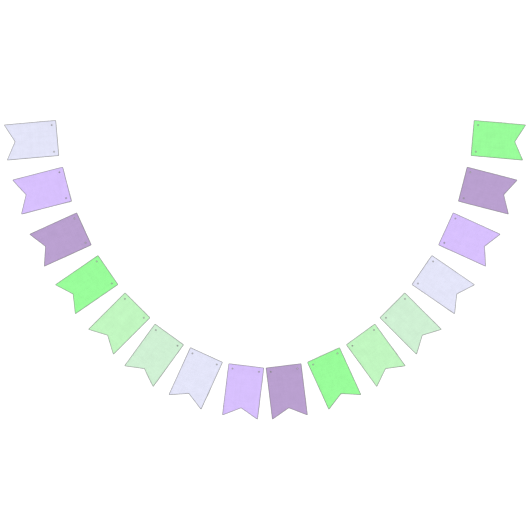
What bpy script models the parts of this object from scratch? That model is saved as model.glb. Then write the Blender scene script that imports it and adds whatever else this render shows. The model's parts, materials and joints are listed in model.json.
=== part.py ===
"""Bunting: sixteen swallow-tail cloth flags, laid out flat along one deep swag.

Metres, +Z up. The flags lie face up on the plane Z = 0. +X runs from the left end of the swag
to its right end, +Y towards its open side, and the origin is the middle of the whole set's box,
on the plane that it lies on.
"""

from math import radians

import bmesh
import bpy
from mathutils import Matrix, Vector

# One flag, in its own frame: the middle of its top edge is the origin, and its tails point to -Y.
FLAG_WIDTH = 0.120
FLAG_LENGTH = 0.176  # from the top edge to the tips of the tails
NOTCH_DEPTH = 0.032  # from the tips of the tails up to the notch between them
CLOTH_THICKNESS = 0.001
CORNER_EASE = 0.0015  # how far from each outer corner its rounding starts
CORNER_STEPS = 3

# The two eyelet holes near the top corners, wide enough for a thread or a narrow ribbon.
EYELET_RADIUS = 0.002
EYELET_SIDES = 20
EYELET_FROM_TOP = 0.015
EYELET_FROM_SIDE = 0.0145

# Where the flags of the right half lie, from the middle of the swag to its right end. The left
# half mirrors them. across and up place the middle of a flag's top edge, from the swag's centre
# line and from the lowest flag, and turn is that edge's slope in degrees.
HALF_SWAG = (
    {"across": 0.0635, "up": 0.000, "turn": 7.0},
    {"across": 0.1990, "up": 0.037, "turn": 24.5},
    {"across": 0.3255, "up": 0.107, "turn": 36.0},
    {"across": 0.4335, "up": 0.206, "turn": 45.0},
    {"across": 0.5340, "up": 0.326, "turn": 55.5},
    {"across": 0.6155, "up": 0.466, "turn": 65.5},
    {"across": 0.6730, "up": 0.618, "turn": 75.5},
    {"across": 0.7065, "up": 0.775, "turn": 85.0},
)

# The run of colours, which starts again after the sixth flag from the left end. Linear RGB.
CLOTH_COLOURS = (
    ("lavender", (0.775, 0.783, 0.947)),
    ("lilac", (0.686, 0.527, 0.991)),
    ("dusty_purple", (0.491, 0.352, 0.631)),
    ("spring_green", (0.319, 0.982, 0.323)),
    ("pale_green", (0.533, 0.922, 0.527)),
    ("mint", (0.624, 0.871, 0.651)),
)
CLOTH_ROUGHNESS = 0.9


def clear_scene():
    """Removes every object that the scene opened with."""
    for old in list(bpy.data.objects):
        bpy.data.objects.remove(old)


def cloth_material(name, colour):
    """A matt cloth of one plain tint."""
    material = bpy.data.materials.new(name)
    material.use_nodes = True
    shader = material.node_tree.nodes["Principled BSDF"]
    shader.inputs["Base Color"].default_value = (*colour, 1.0)
    shader.inputs["Roughness"].default_value = CLOTH_ROUGHNESS
    shader.inputs["Metallic"].default_value = 0.0
    return material


def flag_outline():
    """The five corners of the cut, anticlockwise from the notch, in the flag's own frame."""
    half = FLAG_WIDTH / 2
    return [
        Vector((0.0, NOTCH_DEPTH - FLAG_LENGTH, 0.0)),
        Vector((half, -FLAG_LENGTH, 0.0)),
        Vector((half, 0.0, 0.0)),
        Vector((-half, 0.0, 0.0)),
        Vector((-half, -FLAG_LENGTH, 0.0)),
    ]


def flag_blank():
    """The cut cloth before its eyelets: the outline with its outer corners eased, one cloth thick."""
    shape = bmesh.new()
    corners = [shape.verts.new(point) for point in flag_outline()]
    shape.faces.new(corners)
    bmesh.ops.bevel(
        shape,
        geom=corners[1:],
        offset=CORNER_EASE,
        segments=CORNER_STEPS,
        profile=0.5,
        affect="VERTICES",
    )
    underside = shape.faces[:]
    extruded = bmesh.ops.extrude_face_region(shape, geom=underside, use_keep_orig=True)
    upper = [item for item in extruded["geom"] if isinstance(item, bmesh.types.BMVert)]
    bmesh.ops.translate(shape, verts=upper, vec=(0.0, 0.0, CLOTH_THICKNESS))
    bmesh.ops.recalc_face_normals(shape, faces=shape.faces[:])
    mesh = bpy.data.meshes.new("flag_blank")
    shape.to_mesh(mesh)
    shape.free()
    return bpy.data.objects.new("flag_blank", mesh)


def eyelet_punch():
    """Two round pins, one on each eyelet's centre, long enough to go right through the cloth."""
    shape = bmesh.new()
    for side in (-1, 1):
        centre = Vector(
            (
                side * (FLAG_WIDTH / 2 - EYELET_FROM_SIDE),
                -EYELET_FROM_TOP,
                CLOTH_THICKNESS / 2,
            )
        )
        bmesh.ops.create_cone(
            shape,
            cap_ends=True,
            segments=EYELET_SIDES,
            radius1=EYELET_RADIUS,
            radius2=EYELET_RADIUS,
            depth=3 * CLOTH_THICKNESS,
            matrix=Matrix.Translation(centre),
        )
    mesh = bpy.data.meshes.new("eyelet_punch")
    shape.to_mesh(mesh)
    shape.free()
    return bpy.data.objects.new("eyelet_punch", mesh)


def flag_pattern():
    """The finished mesh that every flag shares: the blank with its two eyelets punched."""
    blank = flag_blank()
    punch = eyelet_punch()
    for helper in (blank, punch):
        bpy.context.scene.collection.objects.link(helper)
    cut = blank.modifiers.new("eyelets", "BOOLEAN")
    cut.operation = "DIFFERENCE"
    cut.solver = "EXACT"
    cut.object = punch
    evaluated = blank.evaluated_get(bpy.context.evaluated_depsgraph_get())
    pattern = bpy.data.meshes.new_from_object(evaluated)
    pattern.name = "swallow_tail_flag"
    for helper in (blank, punch):
        bpy.data.objects.remove(helper)
    return pattern


def swag_places():
    """Each flag's place in the swag's frame, from its left end to its right end."""
    right = [
        Matrix.Translation((stop["across"], stop["up"], 0.0))
        @ Matrix.Rotation(radians(stop["turn"]), 4, "Z")
        for stop in HALF_SWAG
    ]
    left = [
        Matrix.Translation((-stop["across"], stop["up"], 0.0))
        @ Matrix.Rotation(radians(-stop["turn"]), 4, "Z")
        for stop in reversed(HALF_SWAG)
    ]
    return left + right


def box_middle(pattern, places):
    """The middle of the box round all the placed flags, on the plane that they lie on."""
    points = [place @ corner.co for place in places for corner in pattern.vertices]
    low, high = (
        Vector((pick(p.x for p in points), pick(p.y for p in points), 0.0))
        for pick in (min, max)
    )
    return (low + high) / 2


def build_bunting():
    """Sixteen flags from one pattern, each on its own place and in its own tint."""
    clear_scene()
    pattern = flag_pattern()
    pattern.materials.append(None)  # an empty slot, which each flag fills with its own tint
    tints = [cloth_material(name, colour) for name, colour in CLOTH_COLOURS]
    places = swag_places()
    swag = bpy.data.objects.new("swag", None)
    swag.location = -box_middle(pattern, places)
    bpy.context.scene.collection.objects.link(swag)
    for number, place in enumerate(places):
        flag = bpy.data.objects.new(f"flag_{number + 1:02d}", pattern)
        flag.parent = swag
        flag.matrix_local = place
        flag.material_slots[0].link = "OBJECT"
        flag.material_slots[0].material = tints[number % len(tints)]
        bpy.context.scene.collection.objects.link(flag)


build_bunting()
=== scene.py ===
# %% [markdown]
# A bunting of sixteen small cloth flags, laid out flat along one deep swag. Each flag is one cut
# piece of firm cotton with a swallow tail, a grey overlocked edge and two worked eyelets. The solids
# of the flags come from the imported model. They are plain slabs at the right size and in the right
# place, and this lesson dresses them: woven cloth that lies as cloth does, and every stitch of the
# grey thread.

# %% Load the solids
import json
import math

import bpy
import numpy as np
from mathutils import Matrix, Vector


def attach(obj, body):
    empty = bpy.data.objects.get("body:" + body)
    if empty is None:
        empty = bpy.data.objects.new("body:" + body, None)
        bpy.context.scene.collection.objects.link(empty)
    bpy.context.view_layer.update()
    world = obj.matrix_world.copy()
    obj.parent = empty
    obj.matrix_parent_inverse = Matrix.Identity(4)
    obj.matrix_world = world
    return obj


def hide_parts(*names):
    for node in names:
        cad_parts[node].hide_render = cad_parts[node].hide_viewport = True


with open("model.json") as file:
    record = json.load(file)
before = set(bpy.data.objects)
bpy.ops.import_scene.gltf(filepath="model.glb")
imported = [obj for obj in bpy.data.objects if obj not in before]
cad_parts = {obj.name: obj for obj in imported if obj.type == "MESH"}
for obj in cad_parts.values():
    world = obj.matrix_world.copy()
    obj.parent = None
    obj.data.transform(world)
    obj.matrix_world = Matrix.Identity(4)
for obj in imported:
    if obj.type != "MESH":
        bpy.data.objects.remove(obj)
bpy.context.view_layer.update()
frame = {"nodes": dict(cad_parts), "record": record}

flag_names = sorted(frame["nodes"])
print("flags, from the left end of the swag:", ", ".join(flag_names))

# %% [markdown]
# A flag's own sizes, and where it lies, can be typed in again or read off its solid. Reading keeps
# the two from drifting apart. A solid's mesh is loose triangles, in which each corner comes back
# several times, so a corner that is already kept is passed over.

# %% Read the points of a flag
SAME_PLACE = 1e-5  # points less than this apart, in metres, are one


def underside_points(name):
    """The flag's points on the plane that it lies on, each once and in order of place."""
    kept = []
    for vertex in frame["nodes"][name].data.vertices:
        place = vertex.co.xy
        if vertex.co.z < SAME_PLACE and all((place - other).length > SAME_PLACE for other in kept):
            kept.append(place)
    return np.array(sorted(tuple(place) for place in kept))


print("the first flag has", len(underside_points(flag_names[0])), "points on its underside")

# %% [markdown]
# Each flag is its own mirror image and longer than it is wide. So its middle line is the principal
# axis of its points, the direction in which they spread the most. The tails are far from the
# points' mean and the head is near it, which tells one end of that line from the other.

# %% Find where each flag lies
def stance(name):
    """The matrix that takes the flat pattern to this flag's place. The pattern's origin is the
    middle of the flag's head, and its tails point along -Y."""
    points = underside_points(name)
    middle = points.mean(axis=0)
    _, directions = np.linalg.eigh(np.cov((points - middle).T))
    along = directions[:, 1]  # the widest spread comes last
    reach = (points - middle) @ along
    if reach.max() > -reach.min():
        along, reach = -along, -reach
    head = middle + along * reach.max()
    return Matrix(
        (
            (along[1], along[0], 0, head[0]),
            (-along[0], along[1], 0, head[1]),
            (0, 0, 1, 0),
            (0, 0, 0, 1),
        )
    )


stances = {name: stance(name) for name in flag_names}
print("first flag's head is at", [round(x, 3) for x in stances[flag_names[0]].translation])

# %% [markdown]
# One flag, seen in its own frame, gives the sizes of the pattern. Its tails end in eased corners,
# so the sharp tips that they were cut from are found by carrying on the slant of the notch. A
# mesh keeps short numbers, whose last digits are noise, so each length is rounded to a hundredth
# of a millimetre.

# %% Read the flat pattern's sizes
MM = 1000  # millimetres in one metre
METRE_DIGITS = 5  # that are kept, down to a hundredth of a millimetre
RIM_BAND = 0.005  # wide enough to hold the eased corners, too narrow to reach an eyelet


def metres(length):
    """A length off a mesh, without the noise in its last digits."""
    return round(float(length), METRE_DIGITS)


flat_view = stances[flag_names[0]].inverted()
pattern = np.array([(flat_view @ Vector((*p, 0)))[:2] for p in underside_points(flag_names[0])])
FLAG_WIDTH = metres(np.ptp(pattern[:, 0]))
notch_tip = pattern[np.abs(pattern[:, 0]).argmin()]
right_tail = pattern[(pattern[:, 0] > SAME_PLACE) & (pattern[:, 1] < notch_tip[1])]
slant_end = right_tail[right_tail[:, 0].argmin()]  # where the tail's eased corner begins
NOTCH_DEPTH = metres((notch_tip - slant_end)[1] / slant_end[0] * FLAG_WIDTH / 2)
FLAG_LENGTH = metres(NOTCH_DEPTH - notch_tip[1])
right_inside = (pattern[:, 0] > SAME_PLACE) & (pattern[:, 0] < FLAG_WIDTH / 2 - RIM_BAND)
eyelet_rim = pattern[right_inside & (pattern[:, 1] > -FLAG_LENGTH / 2)]
EYELET = Vector([metres(place) for place in (*eyelet_rim.mean(axis=0), 0)])
HOLE_RADIUS = metres(np.ptp(eyelet_rim[:, 0]) / 2)
for label, size in (
    ("width", FLAG_WIDTH),
    ("length", FLAG_LENGTH),
    ("notch", NOTCH_DEPTH),
    ("eyelet hole", 2 * HOLE_RADIUS),
):
    print(f"{label}: {MM * size:.1f} mm")

# %% [markdown]
# The photo looks straight down on the flags, without any perspective that shows. A long lens far
# away gives that look, and unlike an orthographic camera it still frames the set when the view
# turns. One flag is 35.27 pixels wide there, which gives the width of the whole view, and the two
# lowest flags place it.

# %% Camera
PHOTO_PIXELS = 530
FLAG_PIXELS = 35.27  # one flag's width in the photo
SWAG_MIDDLE_PIXELS = Vector((264.92, 365.78))  # between the heads of the two lowest flags
LENS = 0.100
SENSOR = 0.036  # its width

metres_per_pixel = FLAG_WIDTH / FLAG_PIXELS
view_width = PHOTO_PIXELS * metres_per_pixel
lowest = sorted(stances.values(), key=lambda place: place.translation.y)[:2]
swag_middle = (lowest[0].translation + lowest[1].translation) / 2
off_middle = (Vector((PHOTO_PIXELS, PHOTO_PIXELS)) / 2 - SWAG_MIDDLE_PIXELS) * metres_per_pixel
aim = swag_middle + Vector((off_middle.x, -off_middle.y, 0))

bpy.ops.object.select_all(action="DESELECT")
bpy.ops.object.camera_add(location=aim + Vector((0, 0, view_width * LENS / SENSOR)))
camera = bpy.context.active_object
camera.data.sensor_width = MM * SENSOR
camera.data.lens = MM * LENS
bpy.context.scene.camera = camera
print(f"the view is {view_width:.3f} m wide, from {camera.location.z:.2f} m up")

# %% [markdown]
# The light is soft and even. A white world lights the set from all sides, and a wide, weak sun from
# the upper left is enough to give the stitches and the weave their shape. The Standard view
# transform keeps pale cloth as pale as it is, where a filmic one would grey it.

# %% World and sun
WORLD_LIGHT = 1.0
SUN_LIGHT = 0.30  # what the sun adds on a level surface, as a share of a white world
SUN_HEIGHT = math.radians(50)
SUN_BEARING = math.radians(135)  # from +X towards +Y, so the upper left
SUN_SPREAD = math.radians(25)  # as wide as a large softbox
SUN_PLACE = (-1, 1, 2)  # of its icon alone, because a sun lights every place from one direction
LIGHT_LEVEL = WORLD_LIGHT + SUN_LIGHT

scene = bpy.context.scene
scene.view_settings.view_transform = "Standard"
scene.world = bpy.data.worlds.new("white_studio")
scene.world.use_nodes = True
sky = scene.world.node_tree.nodes["Background"]
sky.inputs["Color"].default_value = (1, 1, 1, 1)
sky.inputs["Strength"].default_value = WORLD_LIGHT

bpy.ops.object.light_add(
    type="SUN",
    location=SUN_PLACE,
    rotation=(0, math.pi / 2 - SUN_HEIGHT, SUN_BEARING),
)
sun = bpy.context.active_object
sun.data.energy = math.pi * SUN_LIGHT / math.sin(SUN_HEIGHT)
sun.data.angle = SUN_SPREAD
print(f"a white surface sends back {LIGHT_LEVEL:.2f} times full white")

# %% [markdown]
# The floor, the cloths and the thread all start as a new material with a Principled shader in
# it, so a helper makes both.

# %% Floor
FLOOR_WHITE = 0.90
FLOOR_ROUGHNESS = 0.9
FLOOR_SIDE = 16


def new_finish(name):
    """A new material, and the shader in it that takes its colour and gloss."""
    material = bpy.data.materials.new(name)
    material.use_nodes = True
    return material, material.node_tree.nodes["Principled BSDF"]


bpy.ops.mesh.primitive_plane_add(size=FLOOR_SIDE, location=(0, 0, 0))
floor = bpy.context.active_object
floor.name = "floor"
floor_white, paint = new_finish("white_floor")
paint.inputs["Base Color"].default_value = (FLOOR_WHITE, FLOOR_WHITE, FLOOR_WHITE, 1)
paint.inputs["Roughness"].default_value = FLOOR_ROUGHNESS
floor.data.materials.append(floor_white)
print("floor:", floor_white.name)

# %% [markdown]
# A woven pattern is arithmetic on the place of each point, and in a node tree each sum or product
# is one Math node. Wiring dozens by hand is slow to write and hard to read. So a small class holds
# one socket, and Python's own signs add the Math nodes: height * 0.5 + 0.5 reads as what it does.

# %% A socket that can be calculated with
class Wire:
    """An output socket of a node tree. Arithmetic on it adds Math nodes and gives a new wire."""

    def __init__(self, tree, socket):
        self.tree = tree
        self.socket = socket

    @staticmethod
    def node(tree, kind, settings, inputs, output=0):
        """Adds any other node: its type, its settings, then its sockets' values or wires."""
        made = tree.nodes.new(kind)
        for name, value in settings.items():
            setattr(made, name, value)
        Wire.fill(made, inputs)
        return Wire(tree, made.outputs[output])

    @staticmethod
    def fill(node, inputs):
        """Sets each of these sockets of a node to its value, or links its wire to it."""
        for place, value in inputs.items():
            if isinstance(value, Wire):
                value.tree.links.new(value.socket, node.inputs[place])
            else:
                node.inputs[place].default_value = value

    def maths(self, operation, *others):
        """Adds a Math node for an operation on this wire and on others, if it takes any."""
        values = dict(enumerate((self, *others)))
        return Wire.node(self.tree, "ShaderNodeMath", {"operation": operation}, values)

    def __add__(self, other):
        return self.maths("ADD", other)

    def __mul__(self, other):
        return self.maths("MULTIPLY", other)

    def __sub__(self, other):
        return self.maths("SUBTRACT", other)

    def __rsub__(self, other):
        return self * -1 + other

    __radd__ = __add__
    __rmul__ = __mul__

    def floor(self):
        """The whole number at or below it."""
        return self.maths("FLOOR")

    def wave(self):
        """Zero at each whole number, and above and below zero by turns between them."""
        return (self * math.pi).maths("SINE")

    def hump(self):
        """The same wave with its lower parts turned up, so that it is never below zero."""
        return self.wave().maths("ABSOLUTE")


print("on a wire: + - *, and floor, wave, hump")

# %% [markdown]
# Most of a finish lies between two values: the height of the weave, its roughness, its shade. For a
# number that is one line of arithmetic on wires. A colour holds three numbers, and a Math node
# would turn it grey, so a colour goes through a Mix node.

# %% Blends
def blend(factor, low, high):
    """A number that goes from low to high as factor goes from 0 to 1."""
    return low + factor * (high - low)


def blend_shades(factor, colour, deep, pale):
    """A colour that goes from deep to pale times its brightness as factor goes from 0 to 1."""
    deepest = [channel * deep for channel in colour]
    palest = [channel * pale for channel in colour]
    # A Mix node has sockets for each kind of value. Inputs 6 and 7 and output 2 are the colours'.
    sockets = {0: factor, 6: (*deepest, 1), 7: (*palest, 1)}
    return Wire.node(factor.tree, "ShaderNodeMix", {"data_type": "RGBA"}, sockets, output=2)


print("a quarter of the way from 2 to 6 is", blend(0.25, 2, 6))

# %% [markdown]
# The cloth is a firm cotton, and real yarn is never even. Each length of it took the dye a little
# differently, and its fibres show as fine slanting streaks. A White Noise node gives each yarn a
# step of its own, because it turns the yarn's number into a random one. A soft noise that changes
# slowly along the yarn lets its tone drift, and one that changes fast across it makes the streaks.
# All of them count in widths of a yarn, so they suit one of any size.

# %% Tones and fibres of a yarn
DRIFT_LENGTH = 20  # of one drift of a yarn's tone, in widths of a yarn
ROW_STEP = 7.3  # from one yarn's row of the noise to the next, too far for them to look alike
DRIFT_SHARE = 0.5  # of the tone, the rest being the yarn's own step
FIBRE_STREAKS = 7  # across one yarn
FIBRE_SLANT = 1.6  # how many streaks aside a fibre goes in one yarn's width along
FIBRE_CHANGE = 0.7  # how often a streak changes in that width


def noise(tree, vector, scale=1.0, detail=2.0):
    """A soft noise from 0 to 1 with about 0.5 in the middle."""
    sockets = {"Vector": vector, "Scale": scale, "Detail": detail}
    return Wire.node(tree, "ShaderNodeTexNoise", {}, sockets)


def yarn_tone(tree, yarn_number, along, seed):
    """One yarn's own tone from 0 to 1: a random step for each yarn and slow drifts along it."""
    own_number = {"W": yarn_number + seed}
    step = Wire.node(tree, "ShaderNodeTexWhiteNoise", {"noise_dimensions": "1D"}, own_number)
    row = {"X": yarn_number * ROW_STEP + seed, "Y": along * (1 / DRIFT_LENGTH)}
    place = Wire.node(tree, "ShaderNodeCombineXYZ", {}, row)
    return blend(DRIFT_SHARE, step, noise(tree, place))


def fibres(tree, across, along):
    """Fine streaks that wind a little as they run along a yarn, from 0 to 1."""
    streak = {"X": across * FIBRE_STREAKS + along * FIBRE_SLANT, "Y": along * FIBRE_CHANGE}
    return noise(tree, Wire.node(tree, "ShaderNodeCombineXYZ", {}, streak))


print(f"{FIBRE_STREAKS} streaks lie across a yarn, and its tone drifts over {DRIFT_LENGTH} yarns")

# %% [markdown]
# In plain weave each yarn goes over one and under the next, 0.8 mm from yarn to yarn. An image could
# show that, but a formula is sharp at any distance. It works in the pattern's own UV map, which is
# the flat cut in metres. Each yarn is a round ridge that a sine wave lifts and lowers along its
# length. Its neighbours do the opposite, and where two yarns cross, the higher one shows.

# %% The weave as a height
FLAT_MAP = "flat_pattern"
YARN = 0.0008  # from the middle of one yarn to the middle of the next
YARN_FLATNESS = 0.6  # under 1, a yarn's back is broad and its sides are steep
YARN_DIP = 0.4  # how much of its height a yarn rises and falls by along its length
FIBRE_RELIEF = 0.15  # the streaks' share of the height
FIBRE_TONE = 0.3  # and of the tone
WARP_SEED, WEFT_SEED = 11.0, 57.0


def map_numbers(tree, uv_map):
    """The two numbers of a UV map, each as a wire."""
    place = Wire.node(tree, "ShaderNodeUVMap", {"uv_map": uv_map}, {})
    return [
        Wire.node(tree, "ShaderNodeSeparateXYZ", {}, {0: place}, output=axis) for axis in "XY"
    ]


def yarn_ridge(across, along, phase):
    """The height of yarns that run along, from 0 in the gaps to 1 where one comes over another."""
    round_back = across.hump().maths("POWER", YARN_FLATNESS)
    side = across.wave().maths("SIGN")
    return round_back * (1 - YARN_DIP + YARN_DIP * phase * (side * along.wave()))


def plain_weave(tree):
    """The height of the weave and the tone of the yarn on top, both from 0 to 1."""
    across, along = [number * (1 / YARN) for number in map_numbers(tree, FLAT_MAP)]
    warp_height = yarn_ridge(across, along, 1)
    weft_height = yarn_ridge(along, across, -1)
    weft_on_top = weft_height.maths("GREATER_THAN", warp_height)
    warp_tone = yarn_tone(tree, across.floor(), along, WARP_SEED)
    weft_tone = yarn_tone(tree, along.floor(), across, WEFT_SEED)
    streaks = blend(weft_on_top, fibres(tree, across, along), fibres(tree, along, across))
    height = blend(weft_on_top, warp_height, weft_height)
    tone = blend(weft_on_top, warp_tone, weft_tone)
    return blend(FIBRE_RELIEF, height, streaks), blend(FIBRE_TONE, tone, streaks)


print(f"{FLAG_WIDTH / YARN:.0f} yarns lie side by side across a flag")

# %% [markdown]
# From a step away each flag is one clean tint, so what changes over the cloth stays faint: painted
# shade between the yarns and a painted highlight on top of them, a tone for each yarn, and soft
# patches where the dye took more or less. The weave is also a little relief, which catches the sun,
# with stray fibres on it.
# Cotton has no gloss to speak of, only a sheen from its fuzz.

# %% Cloth finish
YARN_GAP_PAINTED_SHADE = 0.55  # the tint's brightness in the painted shade down between two yarns
YARN_TOP_PAINTED_HIGHLIGHT = 1.12  # and in the painted highlight on top of one
PAINTED_WEAVE_SHADE_SHARE = 0.55  # how far a yarn's height takes the tint from the painted shade to the painted highlight,
TONE_SHARE = 0.35  # how far its own tone does,
PATCH_SHARE = 0.20  # and how far the soft patches do
PATCHES = 45.0  # in one metre
PATCH_DETAIL = 3.0
FUZZ = 2500.0  # stray fibres in one metre
FUZZ_SHARE = 0.2  # how high they stand, beside the weave
WEAVE_RELIEF = 0.0003  # how high the weave stands
WEAVE_BUMP = 0.9  # and how much of that the light shows
GAP_ROUGHNESS, TOP_ROUGHNESS = 0.95, 0.80
CLOTH_SPECULAR = 0.25
CLOTH_SHEEN, CLOTH_SHEEN_ROUGHNESS = 0.15, 0.5
WEAVE_LIGHT = 0.856  # what the painted shade in the weave's gaps and the slopes of its relief leave of the dye's brightness
FIBRE_SHINE = 0.016  # the white light that any dye's fibres send back besides


def dyed_cloth(name, tint):
    """Plain-woven cotton that looks as bright as the tint in this scene's light."""
    material, shader = new_finish(name)
    tree = material.node_tree
    height, tone = plain_weave(tree)
    place = Wire.node(tree, "ShaderNodeTexCoord", {}, {}, output="Object")
    patch = noise(tree, place, PATCHES, PATCH_DETAIL)
    # Painted shade and highlight: the weave's height paints the gaps darker and the yarns' tops
    # paler, beside the yarns' own tones and the dye's patches.
    painted_shade_and_tone = height * PAINTED_WEAVE_SHADE_SHARE + tone * TONE_SHARE + patch * PATCH_SHARE
    dye = [(channel - FIBRE_SHINE) / (WEAVE_LIGHT * LIGHT_LEVEL) for channel in tint]
    bumps = height + noise(tree, place, FUZZ) * FUZZ_SHARE
    relief = {"Strength": WEAVE_BUMP, "Distance": WEAVE_RELIEF, "Height": bumps}
    looks = {
        "Base Color": blend_shades(painted_shade_and_tone, dye, YARN_GAP_PAINTED_SHADE, YARN_TOP_PAINTED_HIGHLIGHT),
        "Roughness": blend(height, GAP_ROUGHNESS, TOP_ROUGHNESS),
        "Normal": Wire.node(tree, "ShaderNodeBump", {}, relief),
        "Specular IOR Level": CLOTH_SPECULAR,
        "Sheen Weight": CLOTH_SHEEN,
        "Sheen Roughness": CLOTH_SHEEN_ROUGHNESS,
    }
    Wire.fill(shader, looks)
    return material


print(f"the dye changes from {YARN_GAP_PAINTED_SHADE} to {YARN_TOP_PAINTED_HIGHLIGHT} times its brightness over a yarn")

# %% [markdown]
# Six tints repeat along the swag. Each is one dye in the same cloth, so one function makes all six
# finishes from a colour. The record holds each tint as it looks in the photo. The light here is a
# little brighter than a plain white world, so the function makes the dye that much darker.

# %% Six dyes
tints = {m["slot"]: m["base_color"][:3] for m in frame["record"]["materials"]}
slot_of = {part["node"]: part["material_slot"] for part in frame["record"]["subparts"]}
cloths = {slot: dyed_cloth(f"woven_{slot}", tints[slot]) for slot in sorted(set(slot_of.values()))}
print("cloths:", ", ".join(cloths))

# %% [markdown]
# The edges and eyelets are worked in one grey polyester thread. Thread is twisted from fine
# filaments, so it has slanting strands with a soft lustre. Their relief is painted into the colour:
# a painted highlight on top of each strand and painted shade between two. The loops of thread are
# modelled as rings further on, and a ring's own UV map runs along and round the thread, which is
# just what a twist needs. The strands are too fine to need a bump as well, so the painted shade
# and highlight stand in for one. A slow noise makes no two stitches quite alike.

# %% Thread finish
THREAD_MAP = "along_thread"
THREAD_SLOT = "edge_thread"
TWISTS = 7  # strands that cross one loop of thread
TWIST_SLANT = 2  # how many strands lie one beside the next round the thread
FILAMENT_BANDS = 3  # round the thread, each with as many filaments as a yarn has streaks
FILAMENT_SHARE = 0.5  # of a stitch's own tone, the rest being the slow noise
STITCH_PATCHES = 700.0  # in one metre, about one for each stitch
THREAD_PAINTED_SHADE = 0.34  # the tint's brightness in the painted shade between two twists
THREAD_PAINTED_HIGHLIGHT = 1.24  # and in the painted highlight on top of one
TWIST_SHARE = 0.65  # how much of that range is the painted twist, the rest being each stitch's own tone
TWIST_ROUGHNESS, STRAND_ROUGHNESS = 0.62, 0.50
THREAD_SHEEN = 0.1


def twisted_thread(name, tint):
    """Grey sewing thread with its twist painted in as shade and highlight, in the map of a loop of
    thread.
    """
    material, shader = new_finish(name)
    tree = material.node_tree
    along, around = map_numbers(tree, THREAD_MAP)
    along_strands = along * TWISTS
    twist = (along_strands + around * TWIST_SLANT).hump()
    filaments = fibres(tree, around * FILAMENT_BANDS + along_strands, along_strands)
    place = Wire.node(tree, "ShaderNodeTexCoord", {}, {}, output="Object")
    stitch_tone = blend(FILAMENT_SHARE, noise(tree, place, STITCH_PATCHES), filaments)
    # Painted shade between the strands and a painted highlight on them, mixed with each stitch's own
    # tone.
    painted_shade_and_tone = blend(TWIST_SHARE, stitch_tone, twist)
    dye = [channel / LIGHT_LEVEL for channel in tint]
    looks = {
        "Base Color": blend_shades(painted_shade_and_tone, dye, THREAD_PAINTED_SHADE, THREAD_PAINTED_HIGHLIGHT),
        "Roughness": blend(twist, TWIST_ROUGHNESS, STRAND_ROUGHNESS),
        "Sheen Weight": THREAD_SHEEN,
    }
    Wire.fill(shader, looks)
    return material


thread_finish = twisted_thread("grey_thread", tints[THREAD_SLOT])
print("thread:", thread_finish.name)

# %% [markdown]
# The flag is cut like a ribbon end: a rectangle with a notch. As the two halves are alike, it is
# enough to model the right half and mirror it. The half starts as a grid, not a single face,
# because only a grid can bend later on. A Bisect could cut the slant of the notch, but it leaves
# thin slivers along the cut. Shortening each column of the grid to the cloth's length there gives
# the same slant, and every face stays a tidy four-sided one.

# %% Half a flag
HALF_COLUMNS = 22  # faces across half a flag
HALF_ROWS = 62  # and from its head to its tails


def mesh_points(mesh):
    """All points of a mesh as rows of x, y and z."""
    points = np.empty(3 * len(mesh.vertices))
    mesh.vertices.foreach_get("co", points)
    return points.reshape(-1, 3)


def set_points(mesh, points):
    """Moves the points of a mesh to these rows of x, y and z."""
    mesh.vertices.foreach_set("co", points.ravel())
    mesh.update()


bpy.ops.object.select_all(action="DESELECT")
bpy.ops.mesh.primitive_grid_add(
    x_subdivisions=HALF_COLUMNS, y_subdivisions=HALF_ROWS, size=1, calc_uvs=False
)
cloth_blank = bpy.context.active_object
cloth_blank.name = "cloth_blank"
bpy.ops.object.mode_set(mode="EDIT")
bpy.ops.mesh.select_all(action="SELECT")
bpy.ops.transform.resize(value=(FLAG_WIDTH / 2, FLAG_LENGTH, 1), center_override=(0, 0, 0))
bpy.ops.transform.translate(value=(FLAG_WIDTH / 4, -FLAG_LENGTH / 2, 0))
bpy.ops.object.mode_set(mode="OBJECT")
points = mesh_points(cloth_blank.data)
notch_there = NOTCH_DEPTH * (1 - points[:, 0] / (FLAG_WIDTH / 2))
points[:, 1] *= 1 - notch_there / FLAG_LENGTH
set_points(cloth_blank.data, points)
print("half a flag:", len(cloth_blank.data.polygons), "faces")

# %% [markdown]
# Scissors and thread never leave a needle-sharp corner, so the outer corners are eased a little. A
# bevel on single points does that, once the two corners of the half are selected by their place.

# %% Ease the corners
CORNER_EASE = 0.0015  # how far from each corner its rounding starts
CORNER_STEPS = 3


def pick_points(mesh, wanted):
    """Selects only those points of a mesh that the test wants."""
    for part in (mesh.vertices, mesh.edges, mesh.polygons):
        part.foreach_set("select", [False] * len(part))
    for point in mesh.vertices:
        point.select = wanted(point.co)


pick_points(
    cloth_blank.data,
    lambda co: co.x > FLAG_WIDTH / 2 - SAME_PLACE
    and (co.y > -SAME_PLACE or co.y < SAME_PLACE - FLAG_LENGTH),
)
bpy.ops.object.mode_set(mode="EDIT")
bpy.ops.mesh.select_mode(type="VERT")
bpy.ops.mesh.bevel(offset=CORNER_EASE, segments=CORNER_STEPS, affect="VERTICES")
bpy.ops.object.mode_set(mode="OBJECT")
print("eased half:", len(cloth_blank.data.vertices), "points")

# %% [markdown]
# The Mirror modifier makes the left half. Its merge distance, which suits large scenes, is brought
# down to suit cloth. Each modifier here is applied as soon as it is added, because the next step
# works on the mesh that it makes.

# %% Mirror the half
def apply_modifier(obj, kind, **settings):
    """Adds one modifier and applies it at once."""
    modifier = obj.modifiers.new(kind.lower(), kind)
    for name, value in settings.items():
        setattr(modifier, name, value)
    bpy.context.view_layer.objects.active = obj
    bpy.ops.object.modifier_apply(modifier=modifier.name)


apply_modifier(cloth_blank, "MIRROR", merge_threshold=SAME_PLACE)
print("whole flag:", [round(MM * side, 1) for side in cloth_blank.dimensions], "mm")

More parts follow.
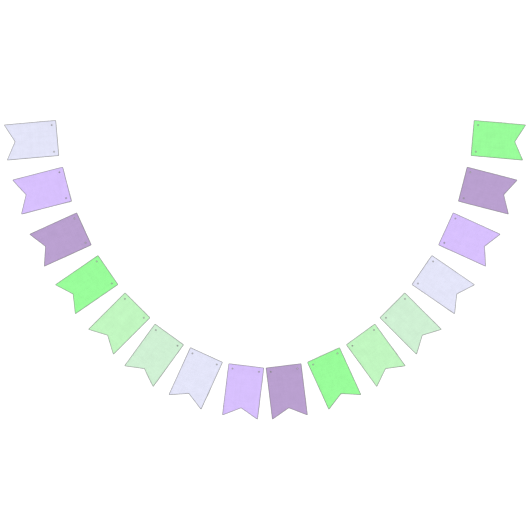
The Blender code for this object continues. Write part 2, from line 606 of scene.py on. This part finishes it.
# %% [markdown]
# The stitching has to follow the flag's rim all round. That line needs no drawing, because the rim
# is already there: its edges are copied out of the sheet and turned into a closed curve. A flat
# curve keeps what follows it upright.

# %% The rim as a curve
def select_only(*objects):
    """Selects these objects and no others, and makes the first of them the active one."""
    bpy.ops.object.select_all(action="DESELECT")
    for obj in objects:
        obj.select_set(True)
    bpy.context.view_layer.objects.active = objects[0]


bpy.ops.object.mode_set(mode="EDIT")
bpy.ops.mesh.select_mode(type="FACE")
bpy.ops.mesh.select_all(action="SELECT")
bpy.ops.mesh.region_to_loop()
bpy.ops.mesh.duplicate()
bpy.ops.mesh.separate(type="SELECTED")
bpy.ops.object.mode_set(mode="OBJECT")
select_only(next(obj for obj in bpy.context.selected_objects if obj != cloth_blank))
bpy.ops.object.convert(target="CURVE")
rim = bpy.context.active_object
rim.name = "rim"
rim.data.dimensions = "2D"
rim_length = rim.data.splines[0].calc_length()
print(f"the rim is {MM * rim_length:.0f} mm round")

# %% [markdown]
# Two things about the cloth depend on how near a point is to the edge: it climbs to its stitching
# there, and it cockles there. The flag has five straight sides. The nearest place on each is found
# by dropping a line on it at a right angle, and where that misses the side, it is the side's end.

# %% How far from the edge
def distance_to_edge(points):
    """How far each point is from the nearest of the flag's five sides."""
    half = FLAG_WIDTH / 2
    corners = np.array(
        [
            (0, NOTCH_DEPTH - FLAG_LENGTH),
            (half, -FLAG_LENGTH),
            (half, 0),
            (-half, 0),
            (-half, -FLAG_LENGTH),
        ]
    )
    nearest = np.full(len(points), np.inf)
    for start, end in zip(corners, np.roll(corners, -1, axis=0)):
        side = end - start
        share = np.clip((points - start) @ side / (side @ side), 0, 1)
        gap = points - start - share[:, None] * side
        nearest = np.minimum(nearest, np.hypot(gap[:, 0], gap[:, 1]))
    return nearest


eyelet_gap = distance_to_edge(np.array([EYELET.xy]))[0]
print(f"an eyelet's middle is {MM * eyelet_gap:.1f} mm from the edge")

# %% [markdown]
# Thread wrapped round an edge makes it thicker than the cloth. So the cloth lies on the table in
# the middle of the flag, and climbs to the height of the thread's middle over the last seven
# millimetres before an edge or an eyelet's middle. That soft rise is what makes a hemmed cloth look
# hemmed.

# %% Raise the cloth to its stitching
CLOTH_THICKNESS = 0.0005
EDGE_HEIGHT = 0.0012  # of the stitched edge, from the table
EYELET_HEIGHT = 0.0010
EDGE_SLOPE = 0.007  # how far in from the edge the cloth starts to climb
EYELET_SLOPE = 0.007  # and how far from an eyelet's middle


def ease(share):
    """Goes softly from 1 at share 0 to 0 at share 1 and beyond."""
    left = np.clip(1 - share, 0, 1)
    return left * left * (3 - 2 * left)


points = mesh_points(cloth_blank.data)
to_edge = distance_to_edge(points[:, :2])
to_eyelet = np.hypot(np.abs(points[:, 0]) - EYELET.x, points[:, 1] - EYELET.y)
at_edge = (EDGE_HEIGHT - CLOTH_THICKNESS) / 2 * ease(to_edge / EDGE_SLOPE)
at_eyelet = (EYELET_HEIGHT - CLOTH_THICKNESS) / 2 * ease(to_eyelet / EYELET_SLOPE)
points[:, 2] = CLOTH_THICKNESS / 2 + np.maximum(at_edge, at_eyelet)
set_points(cloth_blank.data, points)
lowest_point, highest_point = MM * points[:, 2].min(), MM * points[:, 2].max()
print(f"the cloth's middle is {lowest_point:.2f} to {highest_point:.2f} mm up")

# %% [markdown]
# Solidify gives the sheet its thickness, half to each side. The eyelet holes are punched after
# that, as on the real flag, with two round punches and a Boolean. A punch has to go right through,
# so it is much longer than the cloth is thick.

# %% Thicken the cloth and punch the holes
HOLE_SIDES = 24
PUNCH_LENGTH = 0.010
SHARP_FROM = math.radians(40)  # where two faces meet at more than this, their edge stays sharp

apply_modifier(cloth_blank, "SOLIDIFY", thickness=CLOTH_THICKNESS, offset=0)
for side in (-1, 1):
    bpy.ops.object.select_all(action="DESELECT")
    bpy.ops.mesh.primitive_cylinder_add(
        vertices=HOLE_SIDES,
        radius=HOLE_RADIUS,
        depth=PUNCH_LENGTH,
        calc_uvs=False,
        location=(side * EYELET.x, EYELET.y, 0),
    )
    punch = bpy.context.active_object
    apply_modifier(cloth_blank, "BOOLEAN", operation="DIFFERENCE", solver="EXACT", object=punch)
    bpy.data.objects.remove(punch)
select_only(cloth_blank)
bpy.ops.object.shade_smooth_by_angle(angle=SHARP_FROM)
print("cloth:", len(cloth_blank.data.vertices), "points,", len(cloth_blank.data.polygons), "faces")

# %% [markdown]
# The weave is drawn in the flat pattern, so each point's UV is simply its place in the flat cut, in
# metres. An unwrap would only come near to that. A UV map has an entry for each corner of each
# face, and a corner knows which point of the mesh it lies on. The map is written now, before the
# flag is copied and turned, and stays with the cloth wherever it goes.

# %% The flat pattern as a UV map
cloth_mesh = cloth_blank.data
flat_map = cloth_mesh.uv_layers.new(name=FLAT_MAP)
corner_points = np.empty(len(cloth_mesh.loops), dtype=int)
cloth_mesh.loops.foreach_get("vertex_index", corner_points)
flat_map.data.foreach_set("uv", mesh_points(cloth_mesh)[corner_points, :2].ravel())
print("UV map", cloth_mesh.uv_layers[0].name, "for", len(corner_points), "corners")

# %% [markdown]
# An overlocked edge is a row of thread loops, each going round the cloth's cut edge and through the
# cloth a little way in. One loop is a flattened ring. It starts as a torus with only a few faces,
# because about five hundred go round each flag.

# %% One loop of thread
EDGE_WIDTH = 0.0024  # half outside the cut edge and half inside it
EDGE_THREAD = 0.0007  # the thread's thickness
EDGE_COVER = 0.00128  # a loop's width along the rim, more than the pitch, so that none gapes
LOOP_SEGMENTS = 7  # round the loop, with one point at its top and a flat side underneath
THREAD_SIDES = 6


def thread_loop(name, width, height, thickness, cover):
    """A flattened ring of thread in the plane across X, as wide along X as cover says."""
    thread = thickness / 2
    bpy.ops.object.select_all(action="DESELECT")
    bpy.ops.mesh.primitive_torus_add(
        major_segments=LOOP_SEGMENTS,
        minor_segments=THREAD_SIDES,
        major_radius=width / 2 - thread,
        minor_radius=thread,
        rotation=(0, -math.pi / 2, 0),
    )
    loop = bpy.context.active_object
    loop.name = name
    bpy.ops.object.transform_apply(location=True, rotation=True, scale=True)
    bpy.ops.object.mode_set(mode="EDIT")
    bpy.ops.mesh.select_all(action="SELECT")
    bpy.ops.transform.resize(
        value=(cover / thickness, 1, height / width), center_override=(0, 0, 0)
    )
    bpy.ops.object.mode_set(mode="OBJECT")
    bpy.ops.object.shade_smooth()
    loop.data.uv_layers[0].name = THREAD_MAP
    loop.data.materials.append(thread_finish)
    return loop


edging_blank = thread_loop("edging_blank", EDGE_WIDTH, EDGE_HEIGHT, EDGE_THREAD, EDGE_COVER)
print("one loop:", [round(MM * side, 2) for side in edging_blank.dimensions], "mm")

# %% [markdown]
# The loop is set a little aslant, as an overlocker lays it. Then the Array modifier repeats it in a
# straight row as long as the rim, and the Curve modifier lays that row along the rim. The pitch is
# adjusted so that a whole number of loops fits and the row closes without a gap.

# %% The overlocked edge
LOOP_PITCH = 0.00115  # from one loop to the next
LOOP_SLANT = math.radians(14)

bpy.ops.object.mode_set(mode="EDIT")
bpy.ops.mesh.select_all(action="SELECT")
bpy.ops.transform.rotate(value=LOOP_SLANT, orient_axis="Z", center_override=(0, 0, 0))
bpy.ops.object.mode_set(mode="OBJECT")
loop_count = round(rim_length / LOOP_PITCH)
apply_modifier(
    edging_blank,
    "ARRAY",
    fit_type="FIXED_COUNT",
    count=loop_count,
    use_relative_offset=False,
    use_constant_offset=True,
    constant_offset_displace=(rim_length / loop_count, 0, 0),
)
apply_modifier(edging_blank, "CURVE", object=rim, deform_axis="POS_X")
edging_blank.data.transform(Matrix.Translation((0, 0, EDGE_HEIGHT / 2)))
bpy.data.objects.remove(rim)
print(f"{loop_count} loops, {MM * rim_length / loop_count:.2f} mm apart")

# %% [markdown]
# An eyelet is worked in buttonhole stitch: loops of the same thread stand side by side round the
# hole, like spokes, and hide its raw rim. Spin makes such a ring from one loop, as duplicates about
# the eyelet's middle. A full turn would lay the last copy on the first, so the turn stops one
# spoke short.

# %% The worked eyelets
EYELET_INNER = 0.0010  # the ring's radius inside
EYELET_OUTER = 0.0031  # and outside
EYELET_THREAD = 0.0006
EYELET_COVER = 0.0008  # a spoke's width round the ring
SPOKES = 22

spoke_length = EYELET_OUTER - EYELET_INNER
eyelets_blank = thread_loop(
    "eyelets_blank", spoke_length, EYELET_HEIGHT, EYELET_THREAD, EYELET_COVER
)
bpy.ops.object.mode_set(mode="EDIT")
bpy.ops.mesh.select_all(action="SELECT")
bpy.ops.transform.translate(value=(0, (EYELET_INNER + EYELET_OUTER) / 2, EYELET_HEIGHT / 2))
bpy.ops.mesh.spin(
    steps=SPOKES - 1,
    dupli=True,
    angle=2 * math.pi * (SPOKES - 1) / SPOKES,
    center=(0, 0, 0),
    axis=(0, 0, 1),
)
bpy.ops.mesh.select_all(action="SELECT")
bpy.ops.transform.translate(value=EYELET)
bpy.ops.mesh.duplicate()
bpy.ops.transform.translate(value=(-2 * EYELET.x, 0, 0))
bpy.ops.object.mode_set(mode="OBJECT")
print("two eyelets:", len(eyelets_blank.data.polygons), "faces")

# %% [markdown]
# Edge and eyelets are worked in one thread, so they become one piece here. That has a use beyond
# tidiness: an exported model gives each piece a picture of its own for its colours, and the fewer
# pieces share the room, the sharper each picture can be.

# %% All the stitching of a flag
select_only(edging_blank, eyelets_blank)
bpy.ops.object.join()
stitching_blank = bpy.context.active_object
stitching_blank.name = "stitching_blank"
print("stitching:", len(stitching_blank.data.polygons), "faces in", stitching_blank.name)

# %% [markdown]
# Cloth on a table touches it in most places and swells off it in a few, by a millimetre or so, and
# thread that pulls on an edge makes it cockle in short low waves. A cloth simulation would give
# this too, but such low forms are quicker to steer as sums of a few waves. Each flag draws its own
# waves from its number, the same on each run. Only the upper part of a wave counts, so that the
# low parts stay flat on the table.

# %% How a flag lies
SWELL = 0.0018  # the most that a swell can rise
SWELL_LENGTHS = (0.17, 0.12, 0.08)  # of its waves, from crest to crest
COCKLE = 0.0007  # and the same for a cockle
COCKLE_LENGTHS = (0.034, 0.027, 0.021)
COCKLE_REACH = 0.016  # how far in from the edge the cockles die away


def waves(points, lengths, random):
    """The upper part of a few waves that cross each other at random, squared to be flat at 0."""
    total = 0
    for length in lengths:
        heading, phase = random.uniform(0, 2 * math.pi, 2)
        run = points[:, 0] * math.cos(heading) + points[:, 1] * math.sin(heading)
        total = total + np.sin(2 * math.pi * run / length + phase)
    return np.maximum(total / len(lengths), 0) ** 2


def lift(points, number):
    """How far each point of that flag stands up from where a quite flat flag has it."""
    random = np.random.default_rng(number)
    flat = points[:, :2]
    swell = SWELL * waves(flat, SWELL_LENGTHS, random)
    near_edge = ease(distance_to_edge(flat) / COCKLE_REACH)
    return swell + COCKLE * near_edge * waves(flat, COCKLE_LENGTHS, random)


first_lift = lift(mesh_points(cloth_blank.data), 1)
print(f"the first flag rises by up to {MM * first_lift.max():.1f} mm")

# %% [markdown]
# Now the two pieces of each flag are laid out. They take the same lift, and so stay together. The
# cloth stands for the solid, which is then hidden.

# %% Lay out the sixteen flags
def laid_copy(blank, name, number, place):
    """A flag's own copy of a piece, lifted as that flag lies and put in its place."""
    mesh = blank.data.copy()
    points = mesh_points(mesh)
    points[:, 2] += lift(points, number)
    set_points(mesh, points)
    mesh.transform(place)
    piece = bpy.data.objects.new(name, mesh)
    bpy.context.scene.collection.objects.link(piece)
    return piece


for number, name in enumerate(flag_names, start=1):
    suffix = name.split("_")[1]
    cloth = laid_copy(cloth_blank, f"cloth_{suffix}", number, stances[name])
    stitching = laid_copy(stitching_blank, f"stitching_{suffix}", number, stances[name])
    cloth.data.materials.append(cloths[slot_of[name]])
    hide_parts(name)
    for piece in (cloth, stitching):
        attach(piece, "root")
for blank in (cloth_blank, stitching_blank):
    bpy.data.objects.remove(blank)
